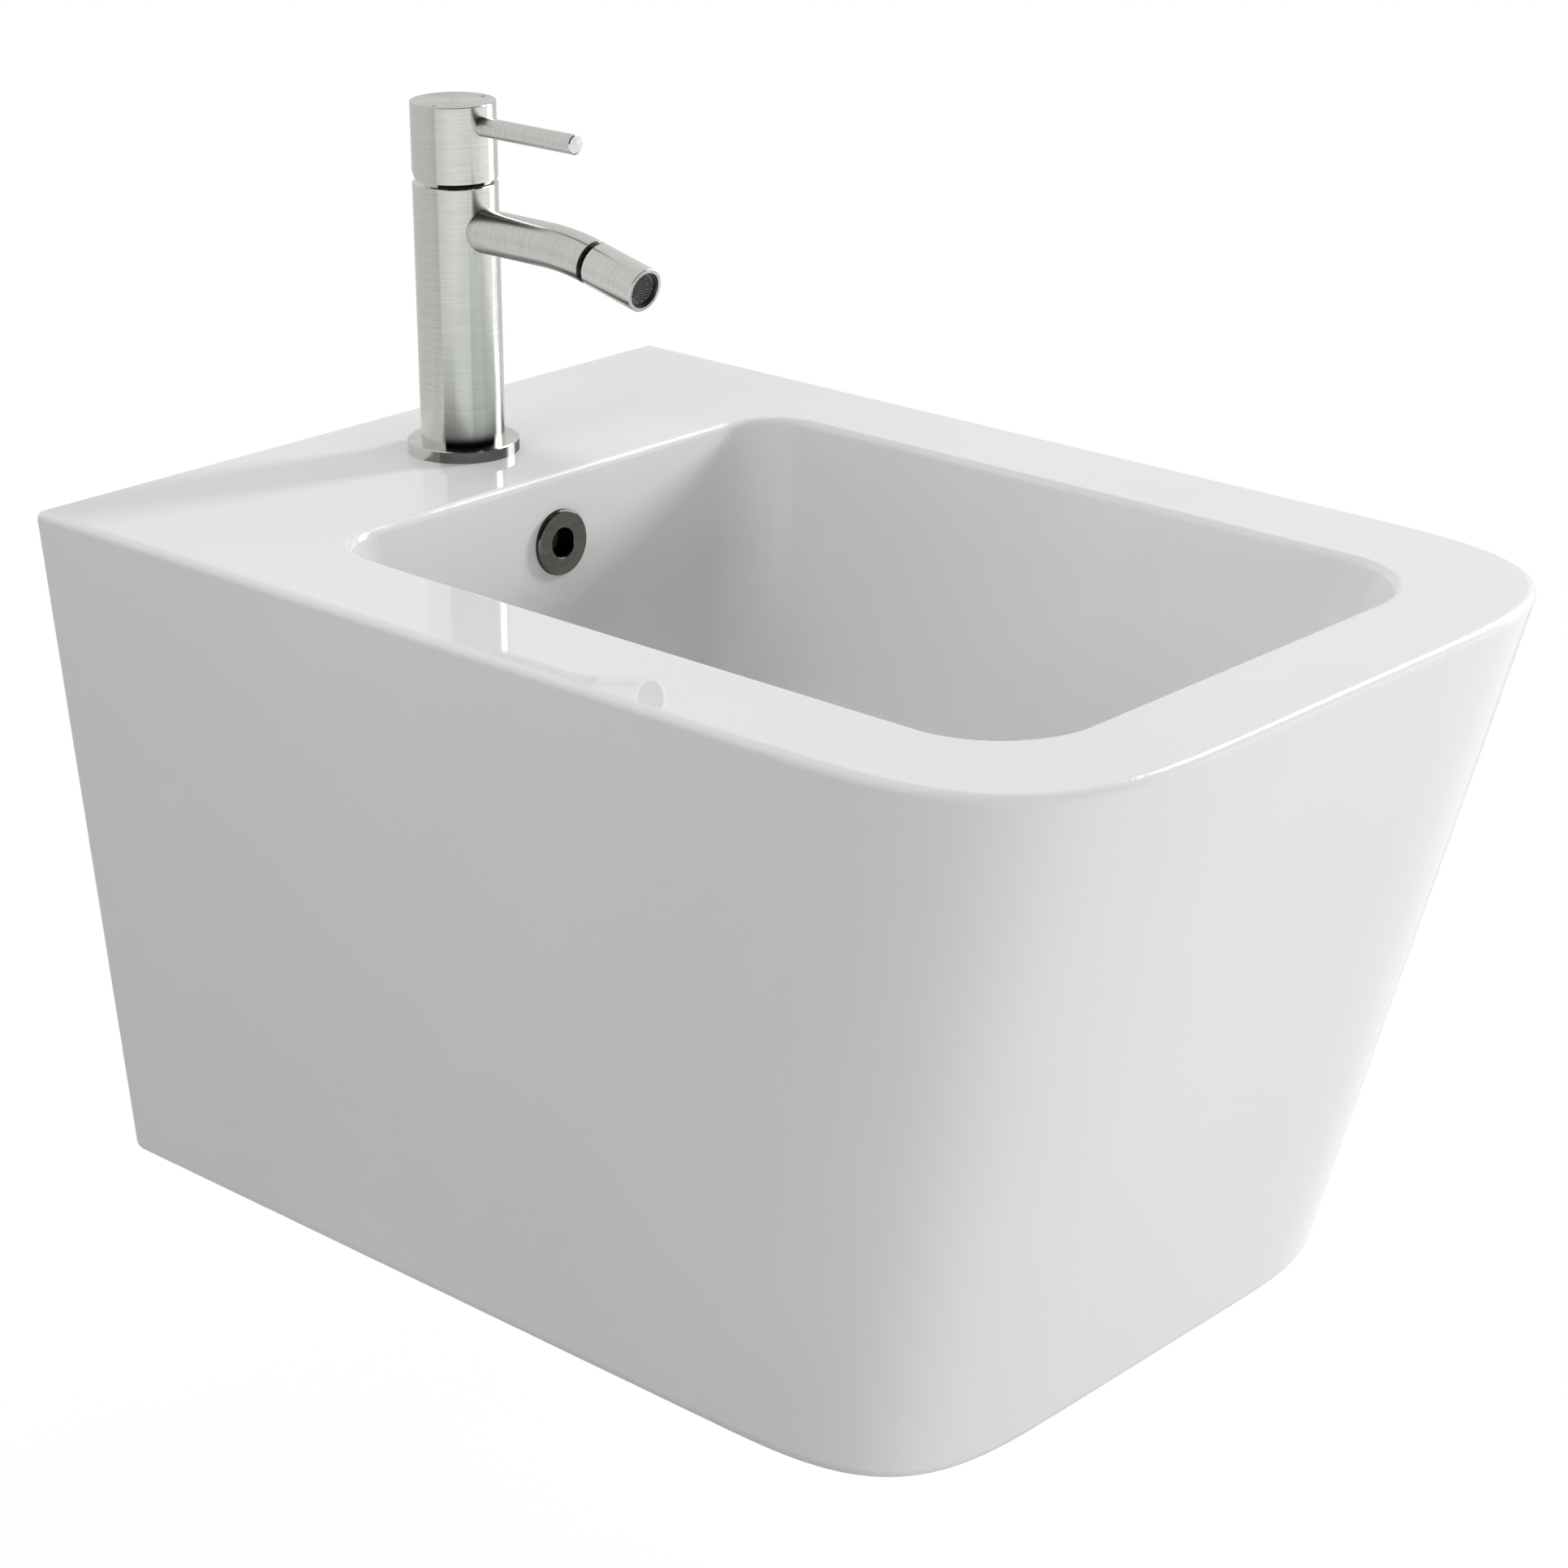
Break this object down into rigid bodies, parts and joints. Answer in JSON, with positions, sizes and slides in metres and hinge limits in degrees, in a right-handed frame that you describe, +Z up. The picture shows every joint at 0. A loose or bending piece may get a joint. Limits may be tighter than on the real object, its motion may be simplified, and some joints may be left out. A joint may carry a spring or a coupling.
{
  "type": "wall-hung bidet",
  "caption": "Wall-hung ceramic bidet with a tapered rounded-square basin, ledge-mounted single-lever tap with a swivelling spout nozzle, overflow ring and press-plug waste.",
  "frame": {"origin": "on the wall plane, midway between the two wall fixing holes", "axes": "+Y into the wall, -Y to the front, +X along the wall to the right when facing it, +Z up"},
  "size_m": [0.3594, 0.518, 0.4513],
  "materials": {
    "glazed_china": "gloss white glaze",
    "brushed_nickel": "brushed",
    "dark_nickel": "satin dark",
    "zinc_steel": "zinc plated",
    "brass": "machined",
    "black_rubber": "matt",
    "white_plastic": "moulded",
    "grey_plastic": "moulded",
    "alumina": "lapped",
    "red_enamel": "gloss",
    "blue_enamel": "gloss"
  },
  "bodies": {
    "basin": {"ceramic_body": "glazed_china", "stud_sleeves": "white_plastic", "stud_washers": "zinc_steel", "stud_nuts": "zinc_steel", "overflow_ring": "dark_nickel", "overflow_sleeve": "grey_plastic", "tap_body": "brushed_nickel", "tap_base_ring": "brushed_nickel", "tap_base_seal": "black_rubber", "tap_clamp_rubber": "black_rubber", "tap_clamp_plate": "zinc_steel", "tap_clamp_nut": "brass", "tap_stud": "zinc_steel", "spout": "brushed_nickel", "swivel_ball": "dark_nickel", "cartridge_base": "white_plastic", "cartridge_seals": "black_rubber", "fixed_disc": "alumina", "cartridge_housing": "white_plastic", "cartridge_nut": "brass", "waste_body": "brushed_nickel", "waste_seal": "black_rubber", "waste_cone_seal": "black_rubber", "waste_washer": "white_plastic", "waste_nut": "brass", "waste_tail": "brushed_nickel", "plug_spider": "white_plastic"},
    "spindle": {"spindle_guide": "white_plastic", "pivot_pin": "zinc_steel"},
    "handle": {"stem": "zinc_steel", "handle_cap": "brushed_nickel", "lever": "brushed_nickel", "handle_screw": "zinc_steel", "hot_mark": "red_enamel", "cold_mark": "blue_enamel"},
    "disc": {"moving_disc": "alumina", "disc_carrier": "white_plastic"},
    "liner": {"ball_liner": "grey_plastic"},
    "nozzle": {"nozzle_sleeve": "brushed_nickel", "nozzle_retainer": "grey_plastic", "aerator_seal": "black_rubber", "aerator_housing": "grey_plastic", "aerator_screen": "grey_plastic"},
    "plug": {"plug_cap": "brushed_nickel", "plug_seal": "black_rubber", "plug_rod": "zinc_steel"}
  },
  "joints": [
    {"name": "handle_swivel", "type": "hinge", "parent": "basin", "child": "spindle", "pos_m": [0, -0.0633, 0.2218], "axis": [0, 0, 1], "range_deg": [-45, 45]},
    {"name": "handle_lift", "type": "hinge", "parent": "spindle", "child": "handle", "pos_m": [0, -0.0633, 0.2218], "axis": [-1, 0, 0], "range_deg": [0, 20]},
    {"name": "disc_slide", "type": "slide", "parent": "spindle", "child": "disc", "axis": [0, -1, 0], "range_m": [0, 0.00445]},
    {"name": "nozzle_tilt", "type": "hinge", "parent": "basin", "child": "liner", "pos_m": [0, -0.15238, 0.18713], "axis": [1, 0, 0], "range_deg": [-10, 10]},
    {"name": "nozzle_swing", "type": "hinge", "parent": "liner", "child": "nozzle", "pos_m": [0, -0.15238, 0.18713], "axis": [0, -0.2284, 0.9736], "range_deg": [-10, 10]},
    {"name": "plug_slide", "type": "slide", "parent": "basin", "child": "plug", "axis": [0, 0, 1], "range_m": [0, 0.008]}
  ],
  "couplings": [
    {"joint": "disc_slide", "follows": "handle_lift", "m_per_rad": 0.012738}
  ]
}
